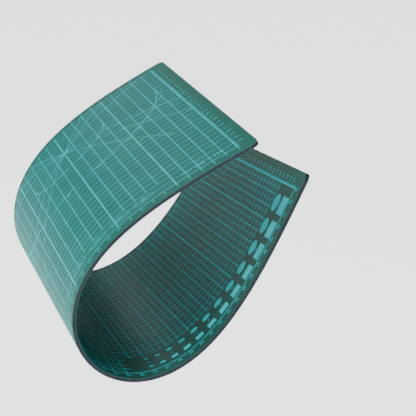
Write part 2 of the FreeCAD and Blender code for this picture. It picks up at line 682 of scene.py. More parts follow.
class Finish:
    """A procedural material, whose subclasses say how it is shaded.

    In every finish sizes and reliefs are in millimetres and angles in radians.  A range is
    the part of a noise that a pattern is drawn from, a share is how strongly the pattern
    shows, and the roughness is where all that roughens it is 0.
    """

    name: str

    def shade(self, tree: ShaderTree) -> dict[str, object]:
        """The values and wires of the shader's sockets; each finish has its own."""
        raise NotImplementedError

    def material(self) -> bpy.types.Material:
        """The Blender material of this finish.

        Returns:
            The new material.
        """
        made = bpy.data.materials.new(self.name)
        tree = ShaderTree(made)
        shader = tree.wire("ShaderNodeBsdfPrincipled", sockets=self.shade(tree))
        tree.node("ShaderNodeOutputMaterial", sockets={"Surface": shader})
        return made


@dataclass(frozen=True)
class SkinFinish(Finish):
    """Soft green PVC with a fine leathery grain, cloudy pigment and healed knife cuts."""

    name: str
    colour: Colour = (0.012, 0.108, 0.084)
    deep: Colour = (0.009, 0.082, 0.064)
    pale: Colour = (0.022, 0.165, 0.138)
    roughness: float = 0.46
    cloud_roughness: float = 0.08
    grain_roughness: float = 0.05
    specular: float = 0.035
    cloud_size: float = 38.0
    cloud_range: Range = (0.3, 0.7)
    speck_size: float = 1.4
    speck_range: Range = (0.55, 0.85)
    speck_share: float = 0.25
    speck_height: float = 0.4
    grain_size: float = 0.55
    grain_height: float = 0.6
    cut_angles: Range = (0.5, -0.85)
    cut_stretch: Triple = (9.0, 260.0, 9.0)
    cut_range: Range = (0.72, 0.78)
    cut_share: float = 0.18
    cut_depth: float = 0.8
    relief: float = 0.018

    def shade(self, tree: ShaderTree) -> dict[str, object]:
        """Cloudy colour, grain and healed cuts under a satin gloss.

        Args:
            tree: the material's tree.

        Returns:
            A value or a wire for each socket.
        """
        cloud = tree.noise(self.cloud_size, 3.0)
        speck = tree.noise(self.speck_size, 1.0)
        grain = tree.noise(self.grain_size, 1.0)
        cuts = tree.maths("MAXIMUM", *(self.cuts(tree, angle) for angle in self.cut_angles))
        colour = tree.blend(tree.ramp(cloud, self.cloud_range), self.deep, self.colour)
        colour = tree.blend(tree.ramp(speck, self.speck_range) * self.speck_share, colour,
                            self.pale)
        height = grain * self.grain_height + speck * self.speck_height - cuts * self.cut_depth
        return {
            "Base Color": tree.blend(cuts * self.cut_share, colour, self.pale),
            "Roughness": (self.roughness + self.cloud_roughness * cloud
                          + self.grain_roughness * grain),
            "Specular IOR Level": self.specular,
            "Normal": tree.bump(height, self.relief)}

    def cuts(self, tree: ShaderTree, angle: float) -> Wire:
        """Faint straight cuts in one direction, few and far between.

        Args:
            tree: the material's tree.
            angle: the cuts' direction.

        Returns:
            1 on a cut and 0 beside it.
        """
        turned = tree.wire("ShaderNodeVectorRotate", {"rotation_type": "Z_AXIS"}, {
            "Vector": tree.place, "Angle": angle})
        lumps = tree.wire("ShaderNodeTexNoise", sockets={
            "Vector": tree.vector_maths("MULTIPLY", turned, self.cut_stretch),
            "Scale": 1.0, "Detail": 0.0})
        return tree.ramp(lumps, self.cut_range)


FRONT_GREEN = SkinFinish("green_front_skin")
# The back skin is the same green PVC as the front, painted darker: its colour, deep and pale hold
# painted shade for the inner face, which lies in shade under the flap.
BACK_GREEN_PAINTED_SHADE = SkinFinish("green_back_skin_painted_shade", colour=(0.006, 0.074, 0.056),
                        deep=(0.005, 0.058, 0.045), pale=(0.014, 0.12, 0.1),
                        specular=0.048, roughness=0.4, cut_angles=(1.1, -1.87))


@dataclass(frozen=True)
class CoreFinish(Finish):
    """Firm dark board, seen on the cut edge with the streaks that the die leaves."""

    name: str = "dark_core"
    colour: Colour = (0.013, 0.008, 0.016)
    pale: Colour = (0.036, 0.025, 0.04)
    roughness: float = 0.6
    speck_roughness: float = 0.15
    specular: float = 0.15
    streak_size: float = 0.9
    streak_stretch: Triple = (1.0, 1.0, 9.0)
    streak_share: float = 0.6
    layer_size: float = 0.35
    layer_stretch: Triple = (40.0, 40.0, 1.0)
    layer_share: float = 0.4
    pale_range: Range = (0.35, 0.75)
    speck_size: float = 0.4
    speck_range: Range = (0.62, 0.8)
    speck_share: float = 0.4
    relief: float = 0.03

    def shade(self, tree: ShaderTree) -> dict[str, object]:
        """Streaks through the thickness and fine specks on a matt board.

        Args:
            tree: the material's tree.

        Returns:
            A value or a wire for each socket.
        """
        streak = tree.noise(self.streak_size, 1.0, self.streak_stretch)
        layers = tree.noise(self.layer_size, 2.0, self.layer_stretch)
        speck = tree.noise(self.speck_size, 1.0)
        share = tree.ramp(streak * self.streak_share + layers * self.layer_share,
                          self.pale_range)
        colour = tree.blend(share, self.colour, self.pale)
        specks = tree.ramp(speck, self.speck_range) * self.speck_share
        return {
            "Base Color": tree.blend(specks, colour, self.pale),
            "Roughness": self.roughness + self.speck_roughness * speck,
            "Specular IOR Level": self.specular,
            "Normal": tree.bump(streak + layers, self.relief)}


@dataclass(frozen=True)
class InkFinish(Finish):
    """Light cyan screen ink, laid a little unevenly and worn a little by use."""

    name: str
    colour: Colour = (0.0, 0.5, 0.54)
    thin: Colour = (0.0, 0.38, 0.41)
    roughness: float = 0.48
    worn_roughness: float = 0.1
    specular: float = 0.035
    patch_size: float = 22.0
    patch_share: float = 0.7
    pinhole_size: float = 0.5
    pinhole_share: float = 0.3
    worn_range: Range = (0.42, 0.68)
    relief: float = 0.01

    def shade(self, tree: ShaderTree) -> dict[str, object]:
        """Thin patches and the screen's pinholes in a satin ink.

        Args:
            tree: the material's tree.

        Returns:
            A value or a wire for each socket.
        """
        patch = tree.noise(self.patch_size, 2.0)
        pinholes = tree.noise(self.pinhole_size, 1.0)
        worn = tree.ramp(patch * self.patch_share + pinholes * self.pinhole_share,
                         self.worn_range)
        return {
            "Base Color": tree.blend(worn, self.colour, self.thin),
            "Roughness": self.roughness + self.worn_roughness * worn,
            "Specular IOR Level": self.specular,
            "Normal": tree.bump(pinholes, self.relief)}


FRONT_INK = InkFinish("front_ink")
BACK_INK = InkFinish("back_ink", colour=(0.0, 0.6, 0.64), thin=(0.0, 0.47, 0.5),
                     specular=0.025)


@dataclass(frozen=True)
class FloorFinish(Finish):
    """Pale painted floor, lit from beneath as a light table is."""

    name: str = "pale_floor"
    colour: Colour = (0.86, 0.87, 0.87)
    shade_colour: Colour = (0.83, 0.84, 0.84)
    roughness: float = 0.75
    glow: float = 2.1
    clouds_per_metre: float = 3.0

    def shade(self, tree: ShaderTree) -> dict[str, object]:
        """Faint clouds on a glowing white.

        Args:
            tree: the material's tree.

        Returns:
            A value or a wire for each socket.
        """
        spot = tree.wire("ShaderNodeTexCoord", key="Object")
        cloud = tree.wire("ShaderNodeTexNoise", sockets={
            "Vector": spot, "Scale": self.clouds_per_metre, "Detail": 3.0})
        return {
            "Base Color": tree.blend(cloud, self.shade_colour, self.colour),
            "Roughness": self.roughness,
            "Emission Color": (1.0, 1.0, 1.0, 1.0), "Emission Strength": self.glow}


# --------------------------------------------------------------------------- layers


class Layer(Enum):
    """The mat's three layers, by the name of their CAD nodes."""

    FRONT_SKIN = "front_skin"
    CORE = "core"
    BACK_SKIN = "back_skin"

    def heights(self, curl: Curl) -> tuple[float, float]:
        """The layer's lowest and highest distance from mid-thickness, in millimetres.

        Args:
            curl: the curl, which knows the thicknesses.

        Returns:
            The lower and the upper height.
        """
        inner = curl.core_thickness / 2
        return {Layer.FRONT_SKIN: (inner, curl.face), Layer.CORE: (-inner, inner),
                Layer.BACK_SKIN: (-curl.face, -inner)}[self]


@dataclass
class Division:
    """The stretch of the mat that bends with one hinge."""

    number: int
    joint: dict
    first: float | None
    last: float | None
    curl: Curl
    start: Vector = field(default_factory=Vector)
    end: Vector = field(default_factory=Vector)

    def left(self, y: float) -> float:
        """Where it begins along the mat, at a distance across it.

        Args:
            y: the distance from the centre line, in millimetres.

        Returns:
            The place, in millimetres.
        """
        if self.first is not None:
            return self.curl.ruling_x(self.first, y)
        return self._corner(y)

    def right(self, y: float) -> float:
        """Where it ends along the mat, at a distance across it.

        Args:
            y: the distance from the centre line, in millimetres.

        Returns:
            The place, in millimetres.
        """
        if self.last is not None:
            return self.curl.ruling_x(self.last, y)
        return self.curl.length - self._corner(y)

    def _corner(self, y: float) -> float:
        """How far a rounded corner draws the mat's end back, at a distance across it.

        Args:
            y: the distance from the centre line, in millimetres.

        Returns:
            The distance, in millimetres.
        """
        radius = self.curl.corner_radius
        into = abs(y) - (self.curl.half_width - radius)
        return radius - math.sqrt(max(radius * radius - into * into, 0.0)) if into > 0 else 0.0


def slab(outline: Outline, low: float, high: float) -> tuple[list, list, int]:
    """Close a flat outline into a slab between two heights.

    Args:
        outline: flat corners in millimetres and faces, anticlockwise from above.
        low: the lower face's height in millimetres.
        high: the upper face's height in millimetres.

    Returns:
        Corners in metres, faces with the upper ones first and then the lower ones, and how
        many faces there are of each of those two.
    """
    corners, faces = outline
    count = len(corners)
    raised = [(x * MM, y * MM, high * MM) for x, y in corners]
    lowered = [(x * MM, y * MM, low * MM) for x, y in corners]
    made = list(faces) + [tuple(i + count for i in reversed(face)) for face in faces]
    sides = {(a, b) for face in faces for a, b in zip(face, face[1:] + face[:1])}
    walls = [(a, a + count, b + count, b) for a, b in sorted(sides) if (b, a) not in sides]
    return raised + lowered, made + walls, len(faces)


@dataclass
class Sheet:
    """Makes the mat's layers and prints, division by division."""

    curl: Curl
    record: dict
    row_pitch: float = 1.6
    fewest_rows: int = 4
    column_pitch: float = 12.0
    corner_steps: int = 7
    blend_share: float = 0.1
    print_height: float = 0.03
    print_depth: float = 0.02

    def __post_init__(self) -> None:
        """Find the divisions and make the curl's table and the wrapping recipe."""
        self.joints = self.record["behaviour"]["joints"]
        self.nodes = self.record["behaviour"]["bodies"]
        self.frames = self.curl.frames()
        self.table = self.curl.table()
        self.wrap = WrapRecipe()
        count = len(self.joints)
        cuts = [None, *(self.curl.station_at(n / count) for n in range(1, count)), None]
        self.cuts = cuts[1:-1]
        self.divisions = [Division(n + 1, self.joints[n], cuts[n], cuts[n + 1], self.curl)
                          for n in range(count)]
        for division in self.divisions:
            self._set_blend(division)

    def place(self, station: float) -> Matrix:
        """The placement at a station.

        Args:
            station: the distance from the first end, in millimetres.

        Returns:
            The placement at the nearest table step.
        """
        step = self.curl.table_step
        first = self.frames[0][0]
        index = min(max(round((station - first) / step), 0), len(self.frames) - 1)
        return self.frames[index][1]

    def _set_blend(self, division: Division) -> None:
        """Set where a division stops following one body and starts following the other.

        Its first and last rulings must each ride wholly on one body, so that neighbours meet.

        Args:
            division: the division to set.
        """
        hinge = Vector(division.joint["axis"]).normalized()
        pivot = Vector(division.joint["pos_m"])
        count = len(self.joints)
        open_first = self.curl.station_at(self.blend_share / count)
        first = division.first if division.first is not None else open_first
        last = division.last if division.last is not None else self.curl.length - open_first
        rows = [[self.place(s) @ (Vector((self.curl.ruling_x(s, y), y, z)) * MM)
                 for y in (-self.curl.half_width, self.curl.half_width)
                 for z in (-self.curl.face, self.curl.face)] for s in (first, last)]
        middles = [sum(row, Vector()) / len(row) for row in rows]
        across = middles[1] - middles[0]
        across -= across.dot(hinge) * hinge
        across.normalize()
        begin = max((p - pivot).dot(across) for p in rows[0])
        finish = min((p - pivot).dot(across) for p in rows[1])
        division.start = pivot + begin * across
        division.end = pivot + finish * across

    def columns(self) -> list[float]:
        """Distances across the mat of the layers' columns, close together at the corners.

        Returns:
            The distances, from one long edge to the other.
        """
        radius, half = self.curl.corner_radius, self.curl.half_width
        arc = [half - radius + radius * math.cos(n * math.pi / 2 / self.corner_steps)
               for n in range(self.corner_steps + 1)]
        inner = half - radius
        plain = round(2 * inner / self.column_pitch)
        middle = [-inner + 2 * inner * n / plain for n in range(1, plain)]
        return [-y for y in arc] + middle + arc[::-1]

    def outline(self, division: Division) -> Outline:
        """A division's flat outline as a grid of corners and faces, in millimetres.

        Args:
            division: the division to lay out.

        Returns:
            Its corners and faces.
        """
        across = self.columns()
        length = division.right(0.0) - division.left(0.0)
        rows = max(self.fewest_rows, round(length / self.row_pitch))
        ends = [(division.left(y), division.right(y), y) for y in across]
        corners = np.array([(left + (right - left) * n / rows, y)
                            for n in range(rows + 1) for left, right, y in ends])
        wide = len(across)
        faces = [(n * wide + m, (n + 1) * wide + m, (n + 1) * wide + m + 1, n * wide + m + 1)
                 for n in range(rows) for m in range(wide - 1)]
        return corners, faces

    def make_piece(self, name: str, outline: Outline, heights: tuple[float, float],
                   material: bpy.types.Material) -> bpy.types.Object:
        """Wrap one closed slab onto the curl.

        Args:
            name: the piece's name.
            outline: its flat corners and faces.
            heights: its lower and upper height, in millimetres.
            material: its material.

        Returns:
            The finished piece.
        """
        corners, faces, capped = slab(outline, *heights)
        flat = plain_mesh(corners, faces)
        mesh = self.wrap.make(flat, {
            "Table": self.table, "First Station": self.frames[0][0] * MM,
            "Station Step": self.curl.table_step * MM, "First Skew": self.curl.first_skew,
            "Skew Rate": self.curl.skew_rate() / MM, "Material": material})
        mesh.name = name
        bpy.data.meshes.remove(flat)
        smooth_faces(mesh, capped)
        piece = show(name, mesh)
        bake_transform(piece)
        return piece

    def make_layer(self, layer: Layer, material: bpy.types.Material) -> None:
        """Make every division of one layer, in place of the layer's CAD nodes.

        Args:
            layer: the layer.
            material: its material.
        """
        for division in self.divisions:
            name = f"{layer.value}_curl_{division.number:02d}"
            piece = self.make_piece(name, self.outline(division), layer.heights(self.curl),
                                    material)
            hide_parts(f"{layer.value}_{division.number:02d}")
            if division is self.divisions[-1]:
                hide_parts(f"{layer.value}_{division.number + 1:02d}")
        log.info("%s: %d divisions", layer.value, len(self.divisions))

    def make_print(self, name: str, outline: Outline, side: int,
                   material: bpy.types.Material) -> None:
        """Cut a flat print at the divisions and make a thin closed film of each part.

        Args:
            name: the pieces' name, before the division's number.
            outline: the whole print's corners and faces.
            side: 1 for the front and -1 for the back.
            material: the ink.
        """
        parts = self._divide(outline)
        levels = (self.curl.face - self.print_depth, self.curl.face + self.print_height)
        heights = levels if side > 0 else (-levels[1], -levels[0])
        for division, part in zip(self.divisions, parts):
            self.make_piece(f"{name}_{division.number:02d}", part, heights, material)
        log.info("%s: %d faces", name, sum(len(part[1]) for part in parts))

    def _divide(self, outline: Outline) -> list[Outline]:
        """Split a print along the rulings between divisions.

        Args:
            outline: the whole print's corners and faces.

        Returns:
            Each division's corners and faces.
        """
        work = workpiece(outline)
        for station in self.cuts:
            skew = self.curl.skew(station)
            cut_along(work, Vector((station, 0, 0)), Vector((math.cos(skew), -math.sin(skew), 0)))
        work.verts.index_update()
        spots = np.array([v.co.to_2d() for v in work.verts])
        groups: list[list[tuple[int, ...]]] = [[] for _ in self.divisions]
        for face in work.faces:
            middle = face.calc_center_median()
            station = self.curl.station_of(middle.x, middle.y)
            corners_of = tuple(v.index for v in face.verts)
            groups[bisect_right(self.cuts, station)].append(
                corners_of if face.normal.z > 0 else corners_of[::-1])
        work.free()
        parts = []
        for group in groups:
            used = sorted({i for face in group for i in face})
            new = {old: index for index, old in enumerate(used)}
            parts.append((spots[used], [tuple(new[i] for i in face) for face in group]))
        return parts

    def finish(self) -> None:
        """Remove the curl's table, which is no part of the mat."""
        bpy.data.objects.remove(self.table)


def workpiece(outline: Outline) -> bmesh.types.BMesh:
    """A flat outline, ready to be cut; it keeps its millimetres.

    Args:
        outline: its corners and faces.

    Returns:
        The mesh to cut, which its user frees.
    """
    mesh = plain_mesh(((x, y, 0.0) for x, y in outline[0]), outline[1])
    work = bmesh.new()
    work.from_mesh(mesh)
    bpy.data.meshes.remove(mesh)
    return work


def cut_along(work: bmesh.types.BMesh, point: Vector, normal: Vector) -> None:
    """Cut every face that a plane crosses."""
    bmesh.ops.bisect_plane(work, geom=[*work.verts, *work.edges, *work.faces],
                           dist=CUT_TOLERANCE, plane_co=point, plane_no=normal)


def smooth_faces(mesh: bpy.types.Mesh, capped: int) -> None:
    """Shade the two broad faces with the sheet's own normal, so that divisions don't show.

    Args:
        mesh: a wrapped slab, its upper faces first and then its lower ones.
        capped: how many faces each of those two has.
    """
    mesh.shade_smooth()
    sheet = np.zeros(len(mesh.vertices) * 3, np.float32)
    mesh.attributes[NORMAL].data.foreach_get("vector", sheet)
    sheet = sheet.reshape(-1, 3)
    vertex = np.zeros(len(mesh.loops), np.int32)
    mesh.loops.foreach_get("vertex_index", vertex)
    total = np.zeros(len(mesh.polygons), np.int32)
    mesh.polygons.foreach_get("loop_total", total)
    own = np.zeros(len(mesh.polygons) * 3, np.float32)
    mesh.polygons.foreach_get("normal", own)
    number = np.repeat(np.arange(len(total)), total)
    normals = own.reshape(-1, 3)[number]
    upper, lower = number < capped, (number >= capped) & (number < 2 * capped)
    normals[upper] = sheet[vertex][upper]
    normals[lower] = -sheet[vertex][lower]
    mesh.normals_split_custom_set(normals.tolist())
    mesh.attributes.remove(mesh.attributes[NORMAL])


# --------------------------------------------------------------------------- the prints


@dataclass(frozen=True)
class Weights:
    """Widths of the printed lines, in millimetres."""

    bold: float = 0.85
    plain: float = 0.5
    fine: float = 0.5
    dash: float = 0.34
    tick: float = 0.24
    long: float = 0.75
    arc: float = 0.65
    medium: float = 0.7
    oval: float = 0.4


@dataclass
class Print:
    """A flat print: it gathers outlines, and its subclasses say what is printed where."""

    curl: Curl
    weights: Weights = field(default_factory=Weights)
    pitch: float = 10.0
    squares_long: int = 43
    squares_wide: int = 28
    bold_every: int = 5
    bend_step: float = 2.0
    cross_step: float = 5.0
    fewest_arc_steps: int = 12
    overshoot: float = 2.0
    tick_length: float = 2.0
    long_tick: float = 3.6
    number_height: float = 3.0
    side_number_gap: float = 5.85
    end_number_gap: float = 5.1
    reads: tuple[int, int] = (1, 1)

    def __post_init__(self) -> None:
        """Start with nothing printed."""
        self.corners: list[np.ndarray] = []
        self.faces: list[tuple[int, ...]] = []
        self.count = 0
        self.stamps = StampRecipe()
        self.numerals: dict[tuple[str, float], Outline] = {}
        self.blank = bpy.data.materials.new("blank")

    @property
    def first_x(self) -> float:
        """The border's line at the gripped end."""
        return (self.curl.length - self.squares_long * self.pitch) / 2

    @property
    def last_x(self) -> float:
        """The border's line at the free end."""
        return self.first_x + self.squares_long * self.pitch

    @property
    def half_y(self) -> float:
        """From the centre line to the border's long lines."""
        return self.squares_wide * self.pitch / 2

    def add(self, outline: Outline) -> None:
        """Add flat corners and faces to the print.

        Args:
            outline: the corners and faces.
        """
        corners, faces = outline
        self.corners.append(np.asarray(corners, float))
        for face in faces:
            points = np.asarray([corners[i] for i in face], float)
            turn = points - np.roll(points, 1, 0)
            area = float(np.sum(np.roll(points, 1, 0)[:, 0] * turn[:, 1]
                                - np.roll(points, 1, 0)[:, 1] * turn[:, 0]))
            order = face if area > 0 else face[::-1]
            self.faces.append(tuple(i + self.count for i in order))
        self.count += len(corners)

    def outline(self) -> Outline:
        """Everything printed so far."""
        return np.concatenate(self.corners), self.faces

    def bars(self, x: float, y: float, length: float, width: float, columns: int = 1,
             column_pitch: float = 0.0, rows: int = 1, row_pitch: float = 0.0) -> None:
        """Print a bar, or a field of bars, whose first one is centred at a point.

        Args:
            x: the first bar's middle along the mat.
            y: the first bar's middle across the mat.
            length: a bar's size along the mat.
            width: a bar's size across the mat.
            columns: how many bars lie along the mat.
            column_pitch: how far apart they are.
            rows: how many bars lie across the mat.
            row_pitch: how far apart those are.
        """
        self.add(self.stamp(self.stamps, x, y, {
            "Bar Length": length * MM, "Bar Width": width * MM,
            "Cuts X": 1 + math.ceil(length / self.bend_step),
            "Cuts Y": 1 + math.ceil(width / self.cross_step), "Columns": columns,
            "Column Pitch": column_pitch * MM, "Rows": rows, "Row Pitch": row_pitch * MM}))

    def stamp(self, recipe: RowRecipe, x: float, y: float, values: dict[str, object]) -> Outline:
        """The flat outline that a recipe makes, from its first place on.

        Args:
            recipe: the recipe.
            x: the first shape's place along the mat.
            y: its place across the mat.
            values: a value for each of the recipe's other inputs.

        Returns:
            The corners and faces.
        """
        seed = plain_mesh([], [])
        mesh = recipe.make(seed, {
            **values, "First": (x * MM, y * MM, 0.0), "Material": self.blank})
        outline = flat_outline(mesh)
        bpy.data.meshes.remove(mesh)
        bpy.data.meshes.remove(seed)
        return outline

    def long_lines(self, numbers: Iterable[int], width: float, x0: float, x1: float) -> None:
        """Print lines along the mat at these squares across it, between two places."""
        for number in numbers:
            self.bars((x0 + x1) / 2, number * self.pitch - self.half_y, x1 - x0, width)

    def cross_lines(self, numbers: Iterable[int], width: float, y0: float, y1: float) -> None:
        """Print lines across the mat at these squares along it, between two places."""
        for number in numbers:
            self.bars(self.first_x + number * self.pitch, (y0 + y1) / 2, width, y1 - y0)

    def segment(self, a: tuple[float, float], b: tuple[float, float], width: float) -> None:
        """Print a straight line between two points, in steps that can bend.

        Args:
            a: one end.
            b: the other end.
            width: the line's width.
        """
        start, end = np.array(a, float), np.array(b, float)
        length = float(np.linalg.norm(end - start))
        side = np.array([-(end - start)[1], (end - start)[0]]) / length * width / 2
        steps = math.ceil(length / self.bend_step)
        spine = [start + (end - start) * n / steps for n in range(steps + 1)]
        self.add(ribbon([p - side for p in spine], [p + side for p in spine]))

    def arc(self, centre: tuple[float, float], radius: tuple[float, float], width: float,
            first: float, last: float) -> None:
        """Print part of an ellipse's line.

        Args:
            centre: its centre.
            radius: its radii along and across the mat.
            width: the line's width.
            first: where it starts, in degrees.
            last: where it ends, in degrees.
        """
        sweep = max(radius) * math.radians(last - first)
        steps = max(self.fewest_arc_steps, math.ceil(sweep / self.bend_step))
        inner, outer = [], []
        for n in range(steps + 1):
            angle = math.radians(first + (last - first) * n / steps)
            way = np.array([math.cos(angle), math.sin(angle)])
            inner.append(np.array(centre) + way * (np.array(radius) - width / 2))
            outer.append(np.array(centre) + way * (np.array(radius) + width / 2))
        self.add(ribbon(inner, outer))

    def number(self, text: str, x: float, y: float, height: float) -> None:
        """Print a number centred at a point.

        Args:
            text: the digits.
            x: its middle along the mat.
            y: its middle across the mat.
            height: its height in millimetres.
        """
        if (text, height) not in self.numerals:
            self.numerals[text, height] = numeral(text, height, self.bend_step)
        corners, faces = self.numerals[text, height]
        self.add((corners * np.array(self.reads) + np.array([x, y]), faces))

    def margin(self) -> None:
        """Print the border, its millimetre ticks and the centimetre numbers round it."""
        weights, half, tick = self.weights, self.half_y, self.tick_length
        for side in (-1, 1):
            self.bars((self.first_x + self.last_x) / 2, side * half,
                      self.last_x - self.first_x + weights.plain, weights.plain)
            self.bars(self.first_x, side * (half + tick / 2), weights.tick, tick,
                      self.squares_long * 10 + 1, self.pitch / 10)
            self.bars(self.first_x, side * (half + self.long_tick / 2), weights.fine,
                      self.long_tick, self.squares_long + 1, self.pitch)
            for number in range(self.squares_long + 1):
                self.number(str(number), self.first_x + number * self.pitch,
                            side * (half + self.side_number_gap), self.number_height)
        for x, side in ((self.first_x, -1), (self.last_x, 1)):
            self.bars(x + side * tick / 2, -half, tick, weights.tick,
                      rows=self.squares_wide * 10 + 1, row_pitch=self.pitch / 10)
            for number in range(1, self.squares_wide):
                self.number(str(number), x + side * self.end_number_gap,
                            number * self.pitch - half, self.number_height)


def flat_outline(mesh: bpy.types.Mesh) -> Outline:
    """A flat mesh's corners, in millimetres, and its faces.

    Args:
        mesh: the mesh, in metres.

    Returns:
        The corners and the faces.
    """
    corners = np.zeros(len(mesh.vertices) * 3, np.float32)
    mesh.vertices.foreach_get("co", corners)
    return corners.reshape(-1, 3)[:, :2] / MM, [tuple(p.vertices) for p in mesh.polygons]


def ribbon(one: Sequence[np.ndarray], other: Sequence[np.ndarray]) -> Outline:
    """The faces between two lines of points.

    Args:
        one: the points of one line.
        other: as many points of the other.

    Returns:
        The corners and faces.
    """
    count = len(one)
    faces = [(n, n + 1, count + n + 1, count + n) for n in range(count - 1)]
    return np.array([*one, *other]), faces


def cut_fine(outline: Outline, step: float) -> Outline:
    """An outline cut into strips narrow enough to bend.

    Args:
        outline: the corners and faces to cut.
        step: the strips' width along the mat.

    Returns:
        The corners and faces of the strips.
    """
    work = workpiece(outline)
    low, high = float(outline[0][:, 0].min()), float(outline[0][:, 0].max())
    for number in range(1, math.ceil((high - low) / step)):
        cut_along(work, Vector((low + number * step, 0, 0)), Vector((1, 0, 0)))
    work.verts.index_update()
    spots = np.array([v.co.to_2d() for v in work.verts])
    made = [tuple(v.index for v in face.verts) for face in work.faces]
    work.free()
    return spots, made


def numeral(text: str, height: float, step: float) -> Outline:
    """Digits as a flat outline about the origin, in millimetres.

    Args:
        text: the digits.
        height: their height.
        step: the widest face that may be left, along the mat.

    Returns:
        The corners and faces.
    """
    curve = bpy.data.curves.new("digits", "FONT")
    curve.body, curve.size = text, height * SIZE_PER_HEIGHT
    curve.align_x, curve.align_y = "CENTER", "CENTER"
    curve.resolution_u = DIGIT_STEPS
    held = show("digits", curve)
    graph = bpy.context.evaluated_depsgraph_get()
    mesh = bpy.data.meshes.new_from_object(held.evaluated_get(graph), depsgraph=graph)
    corners, faces = flat_outline(mesh)
    bpy.data.objects.remove(held)
    bpy.data.meshes.remove(mesh)
    return cut_fine((corners * MM, faces), step)


@dataclass
class FrontPrint(Print):
    """The outer face's print: a grid, a protractor, ovals and the mat's size."""

    centre_square: tuple[int, int] = (10, 5)
    small_radius: float = 40.0
    large_radius: float = 90.0
    ray_angles: tuple[float, ...] = (-150, -135, -120, -60, -45, -30, 0, 30, 45, 60, 120, 135,
                                     150, 180)
    ray_reach: float = 150.0
    angle_step: int = 10
    angle_tick: float = 2.5
    angle_gap: float = 4.0
    angle_height: float = 2.8
    bow_tie: tuple[float, float] = (4.0, 2.6)
    oval_count: int = 5
    oval_pitch: float = 21.6
    oval_size: tuple[float, float] = (16.5, 10.0)
    first_oval: float = 74.5
    oval_inset: float = 10.5
    oval_bars: tuple[float, ...] = (4.5, 6.5, 4.5)
    oval_bar_pitch: float = 1.7
    oval_bar_width: float = 0.5
    header_depth: float = 18.0
    header_squares: tuple[int, int] = (6, 17)
    dash_step: float = 2.5
    dash_length: float = 2.0
    note_place: float = 26.0
    note_insets: tuple[float, float] = (8.0, 16.5)
    note_heights: tuple[float, float] = (4.4, 2.6)

    def draw(self) -> Outline:
        """Print everything on the front.

        Returns:
            The front's whole outline.
        """
        weights, half = self.weights, self.half_y
        every = self.bold_every
        bold_x = [n for n in range(self.squares_long + 1) if n % every == 0]
        plain_x = [n for n in range(self.squares_long + 1) if n % every]
        self.cross_lines(bold_x, weights.bold, -half - self.overshoot, half + self.overshoot)
        first, last = self.header_squares
        headed = [n for n in plain_x if first <= n <= last]
        self.cross_lines([n for n in plain_x if n not in headed], weights.plain, -half, half)
        self.cross_lines(headed, weights.plain, -half, half - self.header_depth)
        inner = range(1, self.squares_wide)
        self.long_lines([n for n in inner if n % every == 0], weights.bold,
                        self.first_x, self.last_x)
        self.long_lines([n for n in inner if n % every], weights.long, self.first_x, self.last_x)
        self.dashes()
        self.margin()
        self.protractor()
        self.ovals()
        self.size_note()
        return self.outline()

    def dashes(self) -> None:
        """Print dashed lines halfway between the lines along the mat."""
        step = self.dash_step
        columns = int((self.last_x - self.first_x) / step)
        self.bars(self.first_x + step / 2, self.pitch / 2 - self.half_y, self.dash_length,
                  self.weights.dash, columns, step, self.squares_wide, self.pitch)

    def protractor(self) -> None:
        """Print rays to the border, two half circles, their angles and the centre's bow tie."""
        weights = self.weights
        cx = self.first_x + self.centre_square[0] * self.pitch
        cy = self.centre_square[1] * self.pitch - self.half_y
        for angle in self.ray_angles:
            self.segment((cx, cy), self._to_border(cx, cy, math.radians(angle)), weights.fine)
        self.arc((cx, cy), (self.small_radius,) * 2, weights.arc, 0, 180)
        self.arc((cx, cy), (self.large_radius,) * 2, weights.arc, 0, 180)
        centre = np.array([cx, cy])
        for angle in range(0, 181, self.angle_step):
            way = np.array([math.cos(math.radians(angle)), math.sin(math.radians(angle))])
            for radius in (self.small_radius, self.large_radius):
                self.segment(centre + way * (radius - self.angle_tick), centre + way * radius,
                             weights.fine)
            spot = centre + way * (self.large_radius + self.angle_gap)
            self.number(str(angle), *spot, self.angle_height)
        long, high = self.bow_tie
        for side in (-1, 1):
            fan = centre + side * np.array([(0.0, 0.0), (long, -high), (long, high)])
            self.add(cut_fine((fan, [(0, 1, 2)]), self.bend_step))

    def _to_border(self, x: float, y: float, angle: float) -> tuple[float, float]:
        """Where a ray from a point meets the border.

        Args:
            x: the point's place along the mat.
            y: its place across the mat.
            angle: the ray's direction, in radians.

        Returns:
            The place on the border, or at the ray's full reach if that is nearer.
        """
        way = (math.cos(angle), math.sin(angle))
        limits = ((self.first_x, self.last_x), (-self.half_y, self.half_y))
        reaches = [(limits[axis][way[axis] > 0] - (x, y)[axis]) / way[axis]
                   for axis in (0, 1) if way[axis]]
        reach = min([*reaches, self.ray_reach])
        return x + way[0] * reach, y + way[1] * reach

    def ovals(self) -> None:
        """Print the row of outlined ovals in the header, each round a few short bars."""
        y = self.half_y - self.oval_inset
        wide, high = self.oval_size
        for number in range(self.oval_count):
            x = self.first_x + self.first_oval + number * self.oval_pitch
            self.arc((x, y), (wide / 2, high / 2), self.weights.oval, 0, 360)
            for row, length in enumerate(self.oval_bars, start=-1):
                self.bars(x, y + row * self.oval_bar_pitch, length, self.oval_bar_width)

    def size_note(self) -> None:
        """Print the mat's size and the squares' size where the header begins."""
        notes = (f"{self.curl.length:.0f} x {self.curl.width:.0f} mm", f"{self.pitch:.0f} mm")
        for text, inset, height in zip(notes, self.note_insets, self.note_heights):
            self.number(text, self.first_x + self.note_place, self.half_y - inset, height)


